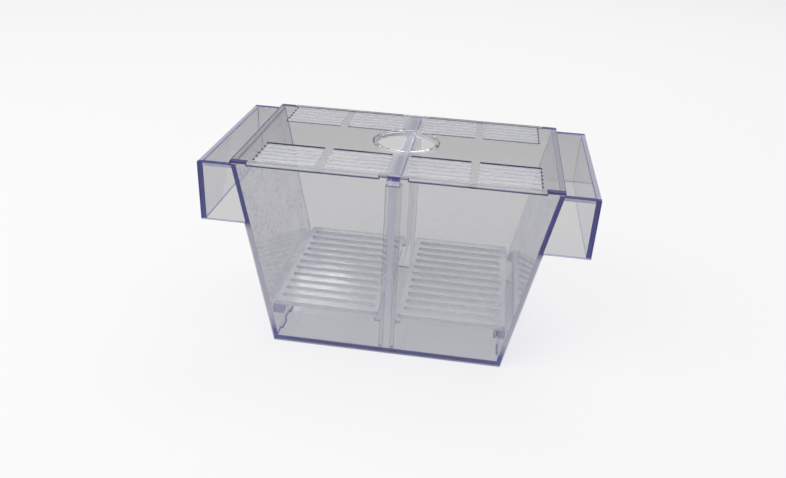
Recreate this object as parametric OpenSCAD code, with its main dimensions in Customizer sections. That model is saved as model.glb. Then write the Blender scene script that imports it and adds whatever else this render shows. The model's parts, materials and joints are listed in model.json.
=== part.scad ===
// Floating fish breeding box, put together from flat clear plates.
// X runs across the box, Y from front to back and Z up. The origin is the middle of the floor's
// underside, so the front plate is on the -Y side.

/* [Box] */
// Width over the side walls at the floor
floor_w = 126; // [100:1:150]
// Width over the side walls at the mouth
mouth_w = 166; // [154:1:178]
// Depth over the front and rear plates
box_d = 98; // [80:1:120]
// Height of the plates' top edges, where the lid rests
rim_z = 103; // [80:1:120]
// Thickness of the front and rear plates
panel_t = 2.5; // [2:0.1:3.5]
// Thickness of the slanted side walls
wall_t = 2.5; // [2:0.1:3.5]
// Thickness of the floor
floor_t = 2.5; // [2:0.1:4]

/* [Floats] */
// Width over both floats
span_w = 200; // [190:1:220]
// Height of the floats' side plates
float_h = 32; // [20:1:45]
// Thickness of the floats' roofs and side plates
float_t = 2.5; // [2:0.1:3.5]

/* [Side wall feet] */
// Number of feet along each side wall
feet = 5; // [2:1:6]
// Length of one foot
foot_w = 8; // [5:0.5:10]
// Clearance round a foot in the floor's slot
foot_gap = 0.1; // [0.05:0.05:0.2]

/* [Divider] */
// Thickness of the divider's web
web_t = 3.2; // [2.4:0.1:3.6]
// How far the web reaches below the gratings' undersides
web_drop = 0; // [0:0.5:3]
// Width of the rail along the divider's top edge
rail_w = 6; // [5:0.5:8]
// Height of the rail
rail_h = 3; // [2:0.5:5]
// Clearance on each side of a sliding piece
slide_gap = 0.3; // [0.2:0.05:0.4]
// Clearance under a piece that rests on another
seat_gap = 0.2; // [0.1:0.05:0.3]

/* [Guide ribs] */
// Thickness of a guide rib
rib_t = 2.3; // [1.6:0.1:2.8]
// How far a guide rib stands out from its plate
rib_d = 4; // [3:0.5:6]

/* [Gratings] */
// Height of the gratings' undersides
grate_z = 22.5; // [20:0.5:30]
// Thickness of a grating
grate_t = 2.5; // [1.5:0.1:4]
// Gap between a grating and the slanted wall
grate_wall_gap = 2; // [0.4:0.1:2.5]
// Gap between a grating and the front or rear plate
grate_gap = 0.6; // [0.4:0.1:1]
// Gap between a grating and the guide ribs
grate_rib_gap = 1; // [0.5:0.1:1.5]
// Width of one slot
grate_slot_w = 3.6; // [2:0.1:3.8]
// Distance from one slot to the next
grate_pitch = 7.8; // [5.5:0.1:9]
// Width of the band that closes the slots' ends
grate_band = 3; // [2:0.5:6]
// Least width of the bands along the front and rear edges
grate_edge = 4; // [2:0.5:6]
// Radius of a grating's corners
grate_corner_r = 1.2; // [0.5:0.1:2]

/* [Grating blocks] */
// Width of a corner block
corner_block_w = 6; // [5:0.5:8]
// Height of a corner block
corner_block_h = 5; // [3:0.5:6]
// How far the blocks stand out from their plate
block_d = 4; // [3:0.5:6]
// Gap between a corner block and the slanted wall
block_gap = 0.4; // [0.2:0.1:0.8]
// Width of a block beside a guide rib
middle_block_w = 3; // [2:0.5:4]
// Height of a block beside a guide rib
middle_block_h = 3; // [2:0.5:5]

/* [Lid] */
// Thickness of the lid
lid_t = 2; // [1.5:0.1:3]
// Radius of the lid's free corners
lid_corner_r = 0.8; // [0.4:0.1:1]
// Width of the tab at each top corner of the front and rear plates
corner_tab_w = 8.7; // [6:0.1:10]
// Width of the tab in the middle of those edges
middle_tab_w = 14.6; // [13:0.1:18]
// Clearance between a tab and its notch in the lid
tab_gap = 0.3; // [0.2:0.05:0.5]
// Width of one slot
lid_slot_w = 2; // [1:0.1:2.4]
// Distance from one slot to the next
lid_pitch = 4.8; // [4:0.1:6]
// Distance from the lid's middle to the first slots, to the left and right
lid_slot_x = 4.5; // [4:0.1:5.5]
// Distance between the ends of neighbouring slots
lid_land = 4; // [3:0.5:5]
// Distance from the slots' ends to the lid's left and right edges
lid_side = 10.5; // [6:0.5:14]
// Least distance from a slot to the notches
lid_edge = 1; // [0.6:0.1:3]

/* [Feeding hole] */
// Diameter of the feeding hole
bore_d = 32.5; // [20:0.5:40]
// Wall thickness of the collar's neck
neck_t = 1.2; // [1:0.1:1.6]
// How far the collar's flange stands out from the neck
flange_w = 1; // [0.8:0.1:2]
// Distance from the flange to the nearest slots
flange_land = 0.1; // [0:0.1:2]
// Height of the flange above the lid
flange_h = 1.5; // [1:0.1:3]
// Radius of the flange's rounded rim
flange_r = 0.6; // [0.3:0.1:0.8]
// Clearance between the collar's neck and the lid
neck_gap = 0.1; // [0.05:0.05:0.2]

/* [Hidden] */
$fn = 48;

// Colours of the clear plates, their violet cut edges, and the grey-green gratings
clear = [0.75, 0.75, 0.80, 0.6];
edge_violet = [0.36, 0.37, 0.62, 0.8];
grating_clear = [0.72, 0.76, 0.76, 0.8];

// Side walls
lean = (mouth_w - floor_w) / 2 / rim_z;
wall_run = wall_t * sqrt(1 + lean * lean);
function outer_x(z) = floor_w / 2 + lean * z;
function inner_x(z) = outer_x(z) - wall_run;

// Places along Y and Z that several pieces share
inner_d = box_d - 2 * panel_t;
panel_y = inner_d / 2;
float_z = rim_z - float_h;
lid_z = rim_z + seat_gap;
tab_z = lid_z + lid_t;
rail_z = rim_z - rail_h;
cut = 1;

// Guide ribs stand either side of the web
rib_x = web_t / 2 + slide_gap;
rib_out_x = rib_x + rib_t;
rail_slot_w = rail_w + 2 * slide_gap;

// Gratings
grate_x0 = rib_out_x + grate_rib_gap;
grate_x1 = inner_x(grate_z) - grate_wall_gap;
grate_d = inner_d - 2 * grate_gap;
grate_slots = floor((grate_d - 2 * grate_edge - grate_slot_w) / grate_pitch) + 1;
block_top = grate_z - seat_gap;
web_z = grate_z - web_drop;

// Feet of the side walls
foot_pitch = (inner_d - foot_w) / feet;
foot_y = [for (i = [0 : feet - 1]) (i - (feet - 1) / 2) * foot_pitch];

// Collar of the feeding hole
neck_d = bore_d + 2 * neck_t;
flange_d = neck_d + 2 * flange_w;

// Lid
notch_d = panel_t + tab_gap;
lid_slot_y = flange_d / 2 + flange_land;
lid_slot_len = (mouth_w / 2 - lid_side - lid_slot_x - lid_land) / 2;
lid_slots = floor((box_d / 2 - notch_d - lid_edge - lid_slot_y - lid_slot_w) / lid_pitch) + 1;

// Puts a flat shape drawn in X and Z upright, as a plate of thickness t centred on y
module upright(y, t) {
    translate([0, y + t / 2, 0])
        rotate([90, 0, 0])
            linear_extrude(t)
                children();
}

// A slot along X with round ends
module slot(length, width) {
    square([length - width, width], center = true);
    for (end = [-1, 1])
        translate([end * (length - width) / 2, 0])
            circle(d = width);
}

// A rectangle with four round corners
module rounded(size, r) {
    square([size.x - 2 * r, size.y], center = true);
    square([size.x, size.y - 2 * r], center = true);
    for (x = [-1, 1], y = [-1, 1])
        translate([x * (size.x / 2 - r), y * (size.y / 2 - r)])
            circle(r = r);
}

// Half outline of a front or rear plate: the tapered box with the float's end as an ear
module panel_half() {
    polygon([
        [0, 0],
        [outer_x(0), 0],
        [outer_x(float_z), float_z],
        [span_w / 2, float_z],
        [span_w / 2, rim_z],
        [0, rim_z]
    ]);
    translate([mouth_w / 2 - corner_tab_w, rim_z])
        square([corner_tab_w, tab_z - rim_z]);
    translate([0, rim_z])
        square([middle_tab_w / 2, tab_z - rim_z]);
}

// Front or rear plate, with the slot that its end of the divider's rail drops into
module panel(side) {
    upright(side * (panel_y + panel_t / 2), panel_t)
        difference() {
            for (half = [0, 1])
                mirror([half, 0])
                    panel_half();
            translate([-rail_slot_w / 2, rail_z - seat_gap])
                square([rail_slot_w, tab_z]);
        }
}

// Cross-section of the right side wall between two heights
module wall_section(z0, z1, gap = 0) {
    polygon([
        [inner_x(z0) - gap, z0],
        [outer_x(z0) + gap, z0],
        [outer_x(z1) + gap, z1],
        [inner_x(z1) - gap, z1]
    ]);
}

// Slanted right side wall with the feet that stand in the floor
module side_wall() {
    upright(0, inner_d)
        wall_section(floor_t, rim_z);
    for (y = foot_y)
        upright(y, foot_w)
            wall_section(0, floor_t);
}

// Floor with slots for both walls' feet. Its sides follow the slant of the walls.
module floor_panel() {
    color(clear)
        difference() {
            upright(0, inner_d)
                polygon([
                    [-outer_x(0), 0],
                    [outer_x(0), 0],
                    [outer_x(floor_t), floor_t],
                    [-outer_x(floor_t), floor_t]
                ]);
            for (half = [0, 1], y = foot_y)
                mirror([half, 0, 0])
                    upright(y, foot_w + 2 * foot_gap)
                        wall_section(-cut, floor_t + cut, foot_gap);
        }
}

// Roof of the right float, from the slanted wall to the side plate
module float_roof() {
    roof_z = rim_z - float_t;
    upright(0, inner_d)
        polygon([
            [outer_x(roof_z), roof_z],
            [span_w / 2 - float_t, roof_z],
            [span_w / 2 - float_t, rim_z],
            [outer_x(rim_z), rim_z]
        ]);
}

// Upright side plate of the right float. The float is open below and holds air.
module float_side() {
    translate([span_w / 2 - float_t, -panel_y, float_z])
        cube([float_t, inner_d, float_h]);
}

// Guide rib on the right of the divider, on the rear plate
module guide_rib() {
    translate([rib_x, panel_y - rib_d, floor_t])
        cube([rib_t, rib_d, rail_z - seat_gap - floor_t]);
}

// Block in the rear right corner, under the grating's outer end
module corner_block() {
    low_z = block_top - corner_block_h;
    translate([inner_x(low_z) - block_gap - corner_block_w, panel_y - block_d, low_z])
        cube([corner_block_w, block_d, corner_block_h]);
}

// Block beside the rear right rib, under the grating's inner end
module middle_block() {
    translate([rib_out_x, panel_y - block_d, block_top - middle_block_h])
        cube([middle_block_w, block_d, middle_block_h]);
}

// Divider: a web between the ribs, hung by a rail whose ends lie in the plates' slots
module divider() {
    web_d = inner_d - 2 * slide_gap;
    color(edge_violet) {
        translate([-web_t / 2, -web_d / 2, web_z])
            cube([web_t, web_d, rail_z - web_z]);
        translate([-rail_w / 2, -box_d / 2, rail_z])
            cube([rail_w, box_d, rail_h]);
        for (side = [-1, 1])
            translate([-rail_w / 2, side * (panel_y + panel_t / 2) - panel_t / 2, rim_z])
                cube([rail_w, panel_t, tab_z - rim_z]);
    }
}

// Right grating: a plate with slots along X, open right through
module grating() {
    length = grate_x1 - grate_x0;
    translate([grate_x0 + length / 2, 0, grate_z])
        linear_extrude(grate_t)
            difference() {
                rounded([length, grate_d], grate_corner_r);
                for (i = [0 : grate_slots - 1])
                    translate([0, (i - (grate_slots - 1) / 2) * grate_pitch])
                        slot(length - 2 * grate_band, grate_slot_w);
            }
}

// The rear right quarter of the lid's notches and slots
module lid_quarter_cuts() {
    translate([mouth_w / 2 - corner_tab_w - tab_gap, box_d / 2 - notch_d])
        square([corner_tab_w + tab_gap + cut, notch_d + cut]);
    translate([-cut, box_d / 2 - notch_d])
        square([middle_tab_w / 2 + tab_gap + cut, notch_d + cut]);
    for (group = [0, 1], i = [0 : lid_slots - 1])
        translate([
            lid_slot_x + lid_slot_len / 2 + group * (lid_slot_len + lid_land),
            lid_slot_y + lid_slot_w / 2 + i * lid_pitch
        ])
            slot(lid_slot_len, lid_slot_w);
}

// Lid: a slotted plate, notched round the tabs, with a seat for the collar
module lid_plate() {
    color(clear)
        translate([0, 0, lid_z])
            linear_extrude(lid_t)
                difference() {
                    rounded([mouth_w, box_d], lid_corner_r);
                    circle(d = neck_d + 2 * neck_gap);
                    for (x = [0, 1], y = [0, 1])
                        mirror([x, 0])
                            mirror([0, y])
                                lid_quarter_cuts();
                }
}

// Collar that lines the feeding hole, with a rounded flange on top of the lid
module feeding_collar() {
    top = tab_z + flange_h;
    color(clear)
        rotate_extrude($fn = 96) {
            translate([bore_d / 2, lid_z])
                square([neck_t, top - lid_z]);
            translate([bore_d / 2, tab_z])
                square([(flange_d - bore_d) / 2 - flange_r, flange_h]);
            translate([bore_d / 2, tab_z])
                square([(flange_d - bore_d) / 2, flange_h - flange_r]);
            translate([flange_d / 2 - flange_r, top - flange_r])
                circle(r = flange_r);
        }
}

// The left half is the right one mirrored, and the front the rear one mirrored
module left() {
    mirror([1, 0, 0])
        children();
}

module front() {
    mirror([0, 1, 0])
        children();
}

color(clear) panel(-1);  // front_panel
color(clear) panel(1);  // rear_panel
color(edge_violet) left() side_wall();  // left_wall
color(edge_violet) side_wall();  // right_wall
floor_panel();
color(clear) left() float_roof();  // left_float_roof
color(clear) float_roof();  // right_float_roof
color(edge_violet) left() float_side();  // left_float_side
color(edge_violet) float_side();  // right_float_side
color(clear) front() left() guide_rib();  // front_left_rib
color(clear) front() guide_rib();  // front_right_rib
color(clear) left() guide_rib();  // rear_left_rib
color(clear) guide_rib();  // rear_right_rib
color(edge_violet) front() left() corner_block();  // front_left_corner_block
color(edge_violet) front() corner_block();  // front_right_corner_block
color(edge_violet) left() corner_block();  // rear_left_corner_block
color(edge_violet) corner_block();  // rear_right_corner_block
color(clear) front() left() middle_block();  // front_left_middle_block
color(clear) front() middle_block();  // front_right_middle_block
color(clear) left() middle_block();  // rear_left_middle_block
color(clear) middle_block();  // rear_right_middle_block
divider();
color(grating_clear) left() grating();  // left_grating
color(grating_clear) grating();  // right_grating
lid_plate();
feeding_collar();
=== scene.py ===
"""A floating fish breeding box of clear polystyrene plates, on a plain pale floor."""
import json
import math

import bpy
from mathutils import Euler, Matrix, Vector


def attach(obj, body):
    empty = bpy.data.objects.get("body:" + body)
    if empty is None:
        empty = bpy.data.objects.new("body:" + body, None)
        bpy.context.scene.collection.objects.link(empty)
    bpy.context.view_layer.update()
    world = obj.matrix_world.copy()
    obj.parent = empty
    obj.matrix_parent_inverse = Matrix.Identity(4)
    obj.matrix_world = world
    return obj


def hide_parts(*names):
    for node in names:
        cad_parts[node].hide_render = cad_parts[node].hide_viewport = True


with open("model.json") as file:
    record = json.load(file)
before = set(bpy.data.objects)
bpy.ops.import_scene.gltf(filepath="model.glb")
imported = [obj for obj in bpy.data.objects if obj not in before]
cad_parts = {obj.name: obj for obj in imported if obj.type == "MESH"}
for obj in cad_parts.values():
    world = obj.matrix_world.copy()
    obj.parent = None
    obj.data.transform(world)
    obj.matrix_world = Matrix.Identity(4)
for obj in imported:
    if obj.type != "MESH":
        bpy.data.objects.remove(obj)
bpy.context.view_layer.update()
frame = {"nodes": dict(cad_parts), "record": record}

MM = 0.001

# ---------------------------------------------------------------- small helpers


def to_linear(channel):
    """One sRGB channel, 0 to 1, as linear light."""
    return channel / 12.92 if channel <= 0.04045 else ((channel + 0.055) / 1.055) ** 2.4


def colour(code):
    """An sRGB hex code as the linear RGBA that a socket takes."""
    channels = [int(code[i:i + 2], 16) / 255 for i in (1, 3, 5)]
    return (*[to_linear(c) for c in channels], 1.0)


def add_node(tree, kind, values=None, links=None, **settings):
    """Adds one node with its settings, its input values and the sockets that feed it."""
    node = tree.nodes.new(kind)
    for name, value in settings.items():
        setattr(node, name, value)
    for name, value in (values or {}).items():
        node.inputs[name].default_value = value
    for name, source in (links or {}).items():
        tree.links.new(source, node.inputs[name])
    return node


def new_material(name):
    """An empty material and its node tree."""
    material = bpy.data.materials.new(name)
    material.use_nodes = True
    material.node_tree.nodes.clear()
    return material, material.node_tree


def select_only(piece):
    """Makes one object the active and only selected one."""
    bpy.ops.object.select_all(action="DESELECT")
    piece.select_set(True)
    bpy.context.view_layer.objects.active = piece


# ---------------------------------------------------------------- clear polystyrene

CUT_EDGE = "cut_edge"  # how far a face is a violet cut edge
SATIN_OR_LIT_EDGE = "slot_wall"  # how far a face keeps the whitish satin of a milled slot, or is painted pale as an edge in the light

# Heights, above the floor's underside, at which the look of an edge changes
FLOOR_TOP = 2.5 * MM
WALL_FOOT = 10 * MM  # the edges of the slanted walls turn pale above this
FLOAT_UNDER = 71 * MM
RAIL_UNDER = 100 * MM
ROOF_UNDER = 100 * MM
ROOF_LINE = 102.2 * MM  # the edges of the floats' roofs are a dark line above this
RAIL_END_LINE = 103 * MM  # the ends of the rail turn from pale to violet just below this
RIM = 103 * MM  # the plates' top edges under the lid
LID_LINE = 103.8 * MM  # the lid's edges are painted as a dark line of shade below this
LID_TOP = 106 * MM

# Lengths over which an edge turns from violet to pale
FADE = 4 * MM
RAIL_FADE = 0.4 * MM
LINE_FADE = 0.3 * MM  # on the lid and the floats' roofs, whose edges have a dark line, on the lid a painted shade

WHITE_FROM = 0.45  # a satin share from which the satin is white, and no longer violet from sawing
PALE = 0.85  # share of the satin in an edge painted pale, as lit from the side
VIOLET = "#5D61CC"  # the colour that light takes on along the sheet
VIOLET_DENSITY = 36.0  # at this, 90 mm of the sheet turn it to dark violet

# Patterns and finishes
SMEAR_MM = 14.286  # smears in the polish
SAW_MM = 0.7143  # the marks of the saw, drawn coarser than they are, so that they show
GLINT_MM = 2.0  # painted glints, in flecks, on the slanted walls
WAVE_HEIGHT = 0.6 * MM
IOR = 1.59  # of polystyrene
SAWN_ROUGH = (0.06, 0.22)  # roughness of the clear part of a sawn edge, from and to
SATIN_ROUGH = 0.45
SATIN_CLEAR = 0.1  # share of the light that a satin face still lets through
GLINT_LIMITS = (0.48, 0.66)  # a painted glint fades in between these values of its noise
PATCH_LIMITS = (0.35, 0.6)  # and a patch of them between these values of the smears


def clear_polystyrene(
        name, face_hex="#FEFEFA", edge_hex="#8486D4", shade_hex="#F6F6F7", depth_hex=VIOLET,
        depth=VIOLET_DENSITY, haze=0.03, wave=0.05, wave_mm=30, streak=1.0, painted_glints=0.0, milky=0.0,
        satin_or_lit_hex="#F2F2F7", sawn_hex="#6262B4", sawn=0.6, gloss_hex="#6C6EE0", pale_between=None,
        fade=FADE, pale=PALE):
    """Clear polystyrene, cut from cast sheet or moulded. Its faces are polished and nearly colourless,
    with the slow waves of cast sheet. Light that runs along the sheet is tinted violet, so the cut
    edges look dark blue-violet, and reflect less of the room than the faces do. The walls of milled
    slots keep a whitish satin, and a moulded piece has a share of it all over, its milky part.
    Between the two heights of pale_between the edges are painted pale with the satin, as light let in from
    the side."""
    material, tree = new_material(name)
    place = add_node(tree, "ShaderNodeTexCoord").outputs["Object"]
    edge = add_node(tree, "ShaderNodeAttribute", attribute_name=CUT_EDGE).outputs["Fac"]
    milled_or_lit = add_node(tree, "ShaderNodeAttribute", attribute_name=SATIN_OR_LIT_EDGE).outputs["Fac"]

    # Slow waves of the cast sheet, wave_mm long and drawn out upwards by streak, smears that make the
    # polish uneven, and a fine roughness from sawing on the edges
    stretched = add_node(
        tree, "ShaderNodeMapping", {"Scale": (1.0, 1.0, 1.0 / streak)}, {"Vector": place}).outputs["Vector"]
    waves = add_node(
        tree, "ShaderNodeTexNoise", {"Scale": 1 / (wave_mm * MM), "Detail": 2.0}, {"Vector": stretched})
    smears = add_node(
        tree, "ShaderNodeTexNoise", {"Scale": 1 / (SMEAR_MM * MM), "Detail": 4.0}, {"Vector": place})
    saw = add_node(
        tree, "ShaderNodeTexNoise", {"Scale": 1 / (SAW_MM * MM), "Detail": 2.0}, {"Vector": place})
    face_rough = add_node(
        tree, "ShaderNodeMapRange", {"To Min": 0.0, "To Max": haze}, {"Value": smears.outputs["Fac"]})
    edge_rough = add_node(
        tree, "ShaderNodeMapRange", {"To Min": SAWN_ROUGH[0], "To Max": SAWN_ROUGH[1]},
        {"Value": saw.outputs["Fac"]})
    rough = add_node(
        tree, "ShaderNodeMix", links={
            "Factor": edge, "A": face_rough.outputs["Result"], "B": edge_rough.outputs["Result"]})
    tint = add_node(
        tree, "ShaderNodeMix", {"A": colour(face_hex), "B": colour(edge_hex)}, {"Factor": edge},
        data_type="RGBA")
    gloss = add_node(
        tree, "ShaderNodeMix", {"A": colour("#FFFFFF"), "B": colour(gloss_hex)}, {"Factor": edge},
        data_type="RGBA")
    bump = add_node(
        tree, "ShaderNodeBump", {"Strength": wave, "Distance": WAVE_HEIGHT}, {"Height": waves.outputs["Fac"]})
    plastic = add_node(
        tree, "ShaderNodeBsdfPrincipled",
        {"IOR": IOR, "Transmission Weight": 1.0},
        {"Base Color": tint.outputs["Result"], "Roughness": rough.outputs["Result"],
         "Specular Tint": gloss.outputs["Result"], "Normal": bump.outputs["Normal"]})

    # Milled slot walls scatter white light, and the pale lengths of the edges are painted light, drawn with
    # the same white satin
    satin_or_lit_part = milled_or_lit
    if pale_between:
        low, high = pale_between
        height = add_node(tree, "ShaderNodeSeparateXYZ", links={"Vector": place}).outputs["Z"]
        above = add_node(
            tree, "ShaderNodeMapRange", {"From Min": low - fade, "From Max": low + fade},
            {"Value": height}).outputs["Result"]
        below = add_node(
            tree, "ShaderNodeMapRange",
            {"From Min": high - fade, "From Max": high, "To Min": pale, "To Max": 0.0},
            {"Value": height}).outputs["Result"]
        between = add_node(
            tree, "ShaderNodeMath", links={0: above, 1: below}, operation="MULTIPLY").outputs["Value"]
        pale_edge = add_node(
            tree, "ShaderNodeMath", links={0: between, 1: edge}, operation="MULTIPLY").outputs["Value"]
        satin_or_lit_part = add_node(
            tree, "ShaderNodeMath", links={0: satin_or_lit_part, 1: pale_edge}, operation="ADD",
            use_clamp=True).outputs["Value"]
    satin_or_lit_part = add_node(
        tree, "ShaderNodeMath", {1: milky}, {0: satin_or_lit_part}, operation="MAXIMUM").outputs["Value"]

    # Painted glints, as flecks in loose patches, where a rippled face breaks up what it mirrors
    if painted_glints:
        grain = add_node(
            tree, "ShaderNodeTexNoise", {"Scale": 1 / (GLINT_MM * MM), "Detail": 1.5}, {"Vector": place})
        spots = add_node(
            tree, "ShaderNodeMapRange",
            {"From Min": GLINT_LIMITS[0], "From Max": GLINT_LIMITS[1], "To Max": painted_glints},
            {"Value": grain.outputs["Fac"]})
        patches = add_node(
            tree, "ShaderNodeMapRange", {"From Min": PATCH_LIMITS[0], "From Max": PATCH_LIMITS[1]},
            {"Value": smears.outputs["Fac"]})
        glints = add_node(
            tree, "ShaderNodeMath", links={0: spots.outputs["Result"], 1: patches.outputs["Result"]},
            operation="MULTIPLY")
        on_face = add_node(
            tree, "ShaderNodeMix", {"B": 0.0}, {"Factor": edge, "A": glints.outputs["Value"]})
        satin_or_lit_part = add_node(
            tree, "ShaderNodeMath", links={0: satin_or_lit_part, 1: on_face.outputs["Result"]},
            operation="MAXIMUM").outputs["Value"]

    # The rest of a sawn edge scatters violet light
    white_part = add_node(
        tree, "ShaderNodeMapRange", {"From Max": WHITE_FROM}, {"Value": satin_or_lit_part}).outputs["Result"]
    sawn_or_white = add_node(
        tree, "ShaderNodeMix", {"A": colour(sawn_hex), "B": colour(satin_or_lit_hex)}, {"Factor": white_part},
        data_type="RGBA")
    sawn_part = add_node(tree, "ShaderNodeMath", {1: sawn}, {0: edge}, operation="MULTIPLY").outputs["Value"]
    satin_or_lit_part = add_node(
        tree, "ShaderNodeMath", links={0: satin_or_lit_part, 1: sawn_part}, operation="MAXIMUM").outputs["Value"]
    satin_or_lit = add_node(
        tree, "ShaderNodeBsdfPrincipled",
        {"Roughness": SATIN_ROUGH, "IOR": IOR, "Transmission Weight": SATIN_CLEAR},
        {"Base Color": sawn_or_white.outputs["Result"]})
    satin_lit_or_clear = add_node(
        tree, "ShaderNodeMixShader",
        links={0: satin_or_lit_part, 1: plastic.outputs["BSDF"], 2: satin_or_lit.outputs["BSDF"]})

    # Light and shadow pass straight through the thin plates
    shade = add_node(tree, "ShaderNodeBsdfTransparent", {"Color": colour(shade_hex)})
    path = add_node(tree, "ShaderNodeLightPath")
    passes = add_node(
        tree, "ShaderNodeMath", links={0: path.outputs["Is Shadow Ray"], 1: path.outputs["Is Diffuse Ray"]},
        operation="MAXIMUM")
    surface = add_node(
        tree, "ShaderNodeMixShader",
        links={0: passes.outputs["Value"], 1: satin_lit_or_clear.outputs["Shader"],
               2: shade.outputs["BSDF"]})
    body = add_node(
        tree, "ShaderNodeVolumeAbsorption", {"Color": colour(depth_hex), "Density": depth})
    add_node(
        tree, "ShaderNodeOutputMaterial",
        links={"Surface": surface.outputs["Shader"], "Volume": body.outputs["Volume"]})
    return material


# The floats' side plates, the ribs and the floor: clear faces, violet edges
sheet = clear_polystyrene("clear_polystyrene_cast_sheet")
# Front and rear plates: as above, with edges painted pale, as lit from the side, between floor and floats
panel_sheet = clear_polystyrene(
    "clear_polystyrene_cast_panel_sheet", sawn_hex="#46488C", gloss_hex="#5C5EB4",
    pale_between=(FLOOR_TOP, FLOAT_UNDER))
# Slanted side walls: a little greyer, as painted shade, and rippled, with painted glints in flecks that give
# them their mottled look
wall_sheet = clear_polystyrene(
    "clear_polystyrene_cast_wall_sheet", face_hex="#EFEFEE", shade_hex="#F4F4F6", haze=0.06, wave=0.15,
    streak=3.0, painted_glints=0.2, satin_or_lit_hex="#E4E4EA", pale_between=(WALL_FOOT, FLOAT_UNDER))
# Roofs of the floats: their edges show as a thin dark line over a band painted pale, as lit from the side
roof_sheet = clear_polystyrene(
    "clear_polystyrene_cast_roof_sheet", satin_or_lit_hex="#DCDEE6", sawn_hex="#464878", sawn=0.7,
    gloss_hex="#707090", pale_between=(ROOF_UNDER, ROOF_LINE), fade=LINE_FADE)
# Divider: the edges of its web stand in the light and look pale grey
divider_sheet = clear_polystyrene(
    "clear_polystyrene_cast_divider_sheet", edge_hex="#9496D4", depth_hex="#6A61C5", depth=12.0,
    satin_or_lit_hex="#F4F6F4", sawn_hex="#605E98", sawn=0.4, pale_between=(FLOOR_TOP, RAIL_END_LINE),
    fade=RAIL_FADE)
# Lid: the lower part of its edges is painted as a dark line of shade, the upper part painted pale, as lit, as
# light as the faces
lid_sheet = clear_polystyrene(
    "clear_polystyrene_cast_lid_sheet", face_hex="#FEFEFC", edge_hex="#A4A6C8", depth_hex="#6668B8",
    depth=20.0, satin_or_lit_hex="#F6F6F8", sawn_hex="#3A3864", sawn=0.8, gloss_hex="#707080",
    pale_between=(LID_LINE, LID_TOP), fade=LINE_FADE, pale=0.34)
# Corner blocks: small offcuts, sawn on all sides, so blue-grey all over
block_sheet = clear_polystyrene(
    "clear_polystyrene_sawn_block", face_hex="#CCCEE0", edge_hex="#CCCEE0", shade_hex="#ECECF4",
    depth_hex="#9498C0", depth=20.0, haze=0.1, sawn_hex="#C0C2D4", sawn=0.4)
# Gratings: moulded, without violet edges, and slightly milky
grating_plastic = clear_polystyrene(
    "clear_polystyrene_moulded_grating", face_hex="#FCFEFC", edge_hex="#E8ECEC", shade_hex="#F2F4F4",
    depth_hex="#C4CCC8", depth=14.0, haze=0.25, milky=0.35, satin_or_lit_hex="#F2F4EE", sawn_hex="#B4B8B8",
    sawn=0.2)
# Collar: moulded and glossy, with short ripples that scatter sparkles round its rim
collar_plastic = clear_polystyrene(
    "clear_polystyrene_moulded_collar", face_hex="#FCFCFC", edge_hex="#F0F2F2", depth_hex="#D0D4DC",
    depth=12.0, wave=0.5, wave_mm=5)

# ---------------------------------------------------------------- plates with eased edges

AIR = 0.02 * MM  # each piece stands this far inside its CAD solid, so that no two faces coincide
EASE = 0.25 * MM  # width of the eased edges
EASE_STEPS = 2
EASE_FROM = math.radians(30)  # edges sharper than this are eased
SAME_POINT = 0.001 * MM
SAME_PLANE = math.radians(1)
ROUND_TO = math.radians(18)  # faces that meet at less than this are shaded as one
FLAT_FROM = 6 * MM * MM  # faces larger than this stay flat, so that nothing bends in their reflections
NEAR = 2 * EASE  # faces this near to the line of an edge belong to it

ALONG = 0.9  # share of a normal along an axis from which the face counts as facing that way
SLOPING = 0.3  # the same for an eased edge that faces partly up
IN_FACE = 0.999  # share along the plate's own normal from which a face is one of its two large ones
SPREADS = 0.5  # a plate spreads out along the axes that have less than this share of its normal
NO_VIOLET = ("_rib", "_middle_block", "_collar")  # glued to a plate that lights them, or moulded
SLOTTED = ("lid_plate", "_grating")

# Places on the plates, measured from the middle of the box
SLOT_INSET = 2.85 * MM  # slot walls lie at least this far inside a plate's outline
RAIL_SLOT_X = 3.6 * MM  # the plates' slots for the rail reach out to here
TAB_X = 8 * MM  # and their middle tabs to here
EAR_X = 70 * MM  # the undersides of the plates' ears lie beyond this
RAIL_END_Y = 48.5 * MM  # the rail's end faces lie beyond this
# The walls of the lid's slots look violet where its plain middle or its plain sides lie behind them
SEAT_R = 17.6 * MM  # walls nearer to the middle than this belong to the collar's seat
LID_FIELD_Y = 19.2 * MM  # and walls from there to here have the plain middle behind them
LID_FIELD_X = 71.6 * MM  # walls beyond this have the plain sides behind them, or belong to the notches
NOTCH_Y = 48 * MM  # the walls of the notches lie within this, and the lid's own edges beyond it

# How violet and how pale a face is. Pale is the satin of milled slot walls and of the welds, and on the other
# edges painted light where they look lit
KEPT_VIOLET = (1.0, -1.0)  # stays violet at any height
SLOT_SATIN = (0.0, 1.0)
WELD = (0.0, 0.8)  # joints between the walls' feet and the floor
RIM_EDGE = (0.1, 0.1)  # the plates' top edges under the lid, and their slots for the rail
TAB_EDGE = (0.2, 0.45)  # tops of the middle tabs
EAR_UNDER_EDGE = (0.3, 0.6)
FLOAT_TOP_EDGE = (0.3, 0.45)  # top edges of the floats' sides
FLOAT_EASED_EDGE = (0.5, 0.0)  # and the eased edges along them
RAIL_END_EDGE = (1.0, -0.35)
PALE_UNDER_LID = 0.6  # how pale the tops of the walls, ribs and middle blocks are
PALE_RAIL = 0.42  # and the top of the rail


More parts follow.
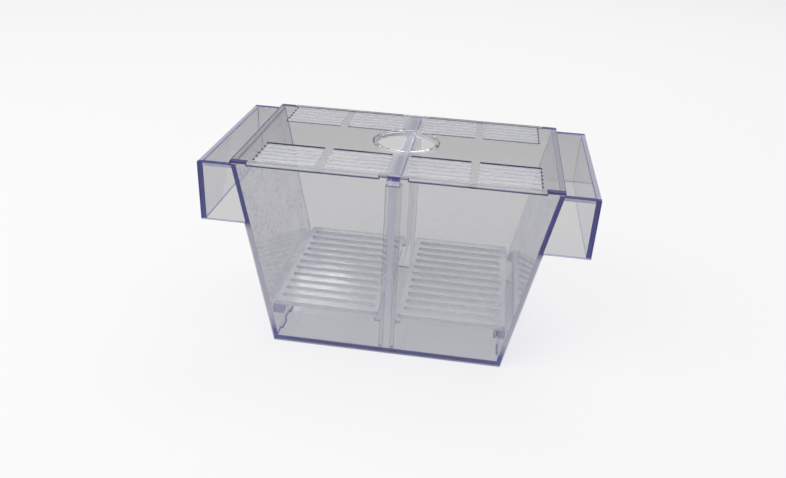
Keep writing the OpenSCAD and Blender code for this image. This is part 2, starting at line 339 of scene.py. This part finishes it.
def edge_tone(node, side, inside, normal, middle):
    """How violet and how pale a face of a node is. A side face is part of an edge of the plate, and an
    inside one lies away from its outline, as the wall of a slot does."""
    up = normal.z > ALONG
    x, y, z = abs(middle.x), abs(middle.y), middle.z
    violet = 1.0 if side and not node.endswith(NO_VIOLET) else 0.0
    if node == "floor_panel":
        return WELD if side and inside else (violet, 0.0)
    if node.endswith("_wall") and z < FLOOR_TOP - EASE:
        return WELD
    if node.endswith(("_wall", "_rib", "_middle_block")):
        return violet, PALE_UNDER_LID if up else 0.0
    if node.endswith("_float_side") and up:
        return FLOAT_TOP_EDGE
    if node.endswith("_float_side") and normal.z > SLOPING and z > RIM - NEAR:
        return FLOAT_EASED_EDGE
    if node.endswith("_panel"):
        rim = side and abs(z - RIM) < NEAR and x < LID_FIELD_X
        rail_slot = side and x < RAIL_SLOT_X and RAIL_UNDER - NEAR < z < RIM
        if rim or rail_slot:
            return RIM_EDGE
        if up and x < TAB_X and z > RIM:
            return TAB_EDGE
        if normal.z < -ALONG and x > EAR_X:
            return EAR_UNDER_EDGE
    if node == "divider":
        if y > RAIL_END_Y and z > RAIL_UNDER - EASE:
            return RAIL_END_EDGE
        if abs(normal.x) > ALONG and z > RAIL_UNDER:
            return KEPT_VIOLET
        return violet, PALE_RAIL if up else 0.0
    if node.endswith(SLOTTED) and side and inside:
        by_lid_field = node == "lid_plate" and (SEAT_R < y < LID_FIELD_Y or x > LID_FIELD_X)
        return KEPT_VIOLET if by_lid_field else SLOT_SATIN
    if node == "lid_plate" and side and abs(normal.y) > ALONG and x > LID_FIELD_X and y < NOTCH_Y:
        return KEPT_VIOLET
    return violet, 0.0


def mark_faces(piece, node):
    """Stores on each face how violet and how pale it is, and shades the large faces flat."""
    polygons = piece.data.polygons
    largest = max(polygons, key=lambda polygon: polygon.area).normal.copy()
    corners = [Vector(corner) for corner in piece.bound_box]
    low = [min(corner[i] for corner in corners) for i in range(3)]
    high = [max(corner[i] for corner in corners) for i in range(3)]
    in_plane = [i for i in range(3) if abs(largest[i]) < SPREADS]
    cut = piece.data.attributes.new(CUT_EDGE, "FLOAT", "FACE")
    satin_or_lit = piece.data.attributes.new(SATIN_OR_LIT_EDGE, "FLOAT", "FACE")
    for polygon in polygons:
        middle = polygon.center
        side = abs(polygon.normal.dot(largest)) < IN_FACE
        inside = all(low[i] + SLOT_INSET < middle[i] < high[i] - SLOT_INSET for i in in_plane)
        violet, pale = edge_tone(node, side, inside, polygon.normal, middle)
        cut.data[polygon.index].value = violet
        satin_or_lit.data[polygon.index].value = pale
        polygon.use_smooth = polygon.area < FLAT_FROM


def eased_plate(node, body, material):
    """Copies a node's mesh as one clean solid with eased edges, and lets it stand for the node."""
    piece = frame["nodes"][node].copy()
    piece.data = frame["nodes"][node].data.copy()
    piece.name = piece.data.name = node + "_eased"
    for key in list(piece.keys()):
        del piece[key]
    piece.parent = None
    bpy.context.scene.collection.objects.link(piece)
    select_only(piece)
    bpy.ops.object.mode_set(mode="EDIT")
    bpy.ops.mesh.select_all(action="SELECT")
    bpy.ops.mesh.remove_doubles(threshold=SAME_POINT)
    bpy.ops.mesh.dissolve_limited(angle_limit=SAME_PLANE)
    bpy.ops.transform.shrink_fatten(value=-AIR, use_even_offset=True)
    bpy.ops.object.mode_set(mode="OBJECT")
    bevel = piece.modifiers.new("eased_edges", "BEVEL")
    bevel.width = EASE
    bevel.segments = EASE_STEPS
    bevel.limit_method = "ANGLE"
    bevel.angle_limit = EASE_FROM
    bpy.ops.object.modifier_apply(modifier=bevel.name)
    bpy.ops.object.shade_smooth_by_angle(angle=ROUND_TO)
    mark_faces(piece, node)
    piece.data.materials.clear()
    piece.data.materials.append(material)
    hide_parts(node)
    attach(piece, body)


plastics = {
    "front_panel": panel_sheet, "rear_panel": panel_sheet,
    "left_wall": wall_sheet, "right_wall": wall_sheet,
    "left_grating": grating_plastic, "right_grating": grating_plastic,
    "left_float_roof": roof_sheet, "right_float_roof": roof_sheet,
    "divider": divider_sheet, "lid_plate": lid_sheet, "feeding_collar": collar_plastic,
}
for body, nodes in frame["record"]["behaviour"]["bodies"].items():
    for node in nodes:
        plastic = block_sheet if node.endswith("_corner_block") else plastics.get(node, sheet)
        eased_plate(node, body, plastic)

# ---------------------------------------------------------------- floor and light

FLOOR_SIZE = 8.0  # metres
FLOOR_DROP = 0.2 * MM  # the paper lies this far below the box
PAPER_HEX = "#F4F4F4"
BACKDROP_HEX = "#F9F9F9"  # the paper as the camera sees it
SHADED_THROUGH_HEX = "#CACACA"  # and as it shows through the plates, painted grey as shade on the box
PAINTED_ROOM_HEX = "#505052"  # the room in front of the box, as its faces mirror it: a painted reflection, dark, on the paper
DARK_PAINT_FROM, DARK_PAINT_TO = -140 * MM, -60 * MM  # the painted dark begins between these, in front of the box
EVENLY_LIT = 0.7  # the rest of the paper's light comes from the lamps, and keeps a weak shadow
SKY_HEIGHTS = (0.2, 0.9)  # between these the world grows lighter, from and to
SKY_STRENGTHS = (0.2, 0.6)

bpy.ops.object.select_all(action="DESELECT")
bpy.ops.mesh.primitive_plane_add(size=FLOOR_SIZE, location=(0, 0, -FLOOR_DROP))
floor = bpy.context.object
floor.name = "studio_floor"
paper, tree = new_material("white_studio_paper")
matt = add_node(tree, "ShaderNodeBsdfDiffuse", {"Color": colour(PAPER_HEX)})
path = add_node(tree, "ShaderNodeLightPath")
# Seen through the plates, the paper is painted grey, as shade on the box, and in front of the box, where the
# box's faces mirror it, it is painted dark, as a reflection of the room
across = add_node(tree, "ShaderNodeTexCoord").outputs["Object"]
depth = add_node(tree, "ShaderNodeSeparateXYZ", links={"Vector": across}).outputs["Y"]
behind_front = add_node(
    tree, "ShaderNodeMapRange", {"From Min": DARK_PAINT_FROM, "From Max": DARK_PAINT_TO}, {"Value": depth})
painted_tone = add_node(
    tree, "ShaderNodeMix", {"A": colour(PAINTED_ROOM_HEX), "B": colour(SHADED_THROUGH_HEX)},
    {"Factor": behind_front.outputs["Result"]}, data_type="RGBA")
tone = add_node(
    tree, "ShaderNodeMix", {"B": colour(BACKDROP_HEX)},
    {"A": painted_tone.outputs["Result"], "Factor": path.outputs["Is Camera Ray"]}, data_type="RGBA")
lit = add_node(tree, "ShaderNodeEmission", {"Strength": 1.0}, {"Color": tone.outputs["Result"]})
mirrored = add_node(
    tree, "ShaderNodeMath",
    links={0: path.outputs["Is Glossy Ray"], 1: path.outputs["Is Transmission Ray"]}, operation="MAXIMUM")
looked_at = add_node(
    tree, "ShaderNodeMath", links={0: path.outputs["Is Camera Ray"], 1: mirrored.outputs["Value"]},
    operation="MAXIMUM")
evenly = add_node(
    tree, "ShaderNodeMath", {1: EVENLY_LIT}, {0: looked_at.outputs["Value"]}, operation="MULTIPLY")
paper_face = add_node(
    tree, "ShaderNodeMixShader",
    links={0: evenly.outputs["Value"], 1: matt.outputs["BSDF"], 2: lit.outputs["Emission"]})
add_node(tree, "ShaderNodeOutputMaterial", links={"Surface": paper_face.outputs["Shader"]})
floor.data.materials.append(paper)

world = bpy.data.worlds.new("studio")
bpy.context.scene.world = world
world.use_nodes = True
tree = world.node_tree
tree.nodes.clear()
way = add_node(tree, "ShaderNodeTexCoord").outputs["Generated"]
height = add_node(tree, "ShaderNodeSeparateXYZ", links={"Vector": way}).outputs["Z"]
sky = add_node(
    tree, "ShaderNodeMapRange",
    {"From Min": SKY_HEIGHTS[0], "From Max": SKY_HEIGHTS[1],
     "To Min": SKY_STRENGTHS[0], "To Max": SKY_STRENGTHS[1]},
    {"Value": height})
room = add_node(
    tree, "ShaderNodeBackground", {"Color": colour("#FFFFFF")}, {"Strength": sky.outputs["Result"]})
white = add_node(tree, "ShaderNodeBackground", {"Color": colour("#FFFFFF"), "Strength": 1.0})
seen = add_node(tree, "ShaderNodeLightPath").outputs["Is Camera Ray"]
both = add_node(
    tree, "ShaderNodeMixShader",
    links={0: seen, 1: room.outputs["Background"], 2: white.outputs["Background"]})
add_node(tree, "ShaderNodeOutputWorld", links={"Surface": both.outputs["Shader"]})


MIDDLE = Vector((0, 0, 0.05))
# Name, place, width and height in metres, power in watts
SOFTBOXES = (
    ("key_softbox", (-0.9, -0.7, 1.3), 1.2, 0.9, 16),
    ("rear_softbox", (0.3, 0.9, 1.6), 1.2, 0.6, 10),
    ("spark_softbox", (-0.45, 1.64, 1.055), 0.22, 0.10, 0.5),  # the left grating mirrors it
)


def softbox(name, place, width, height, power):
    """A rectangular area lamp that faces the middle of the box. The camera doesn't see it."""
    data = bpy.data.lights.new(name, "AREA")
    data.shape = "RECTANGLE"
    data.size = width
    data.size_y = height
    data.energy = power
    lamp = bpy.data.objects.new(name, data)
    lamp.location = place
    lamp.rotation_euler = (MIDDLE - Vector(place)).to_track_quat("-Z", "Y").to_euler()
    lamp.visible_camera = False
    bpy.context.scene.collection.objects.link(lamp)


for name, place, width, height, power in SOFTBOXES:
    softbox(name, place, width, height, power)

# ---------------------------------------------------------------- camera

# Fitted to the box's outline in the photograph
CAMERA_AT = Vector((41.1, -379.0, 243.9)) * MM
LOOKS_AT = Vector((-4.7, 0.0, 45.5)) * MM
ROLL = math.radians(2.90)
PHOTO_W = 786  # pixels
FOCAL_PX = 739
SENSOR_MM = 36.0
CLIP_START = 10 * MM

camera_data = bpy.data.cameras.new("camera")
camera_data.sensor_width = SENSOR_MM
camera_data.lens = SENSOR_MM * FOCAL_PX / PHOTO_W
camera_data.clip_start = CLIP_START
camera = bpy.data.objects.new("camera", camera_data)
camera.location = CAMERA_AT
turn = (LOOKS_AT - CAMERA_AT).to_track_quat("-Z", "Y").to_matrix() @ Euler((0, 0, ROLL)).to_matrix()
camera.rotation_euler = turn.to_euler()
bpy.context.scene.collection.objects.link(camera)
bpy.context.scene.camera = camera

scene = bpy.context.scene
scene.view_settings.view_transform = "Standard"
# Light crosses many plates, each with two faces, and is mirrored between them
scene.cycles.max_bounces = 40
scene.cycles.transmission_bounces = 40
scene.cycles.glossy_bounces = 12
scene.cycles.transparent_max_bounces = 80
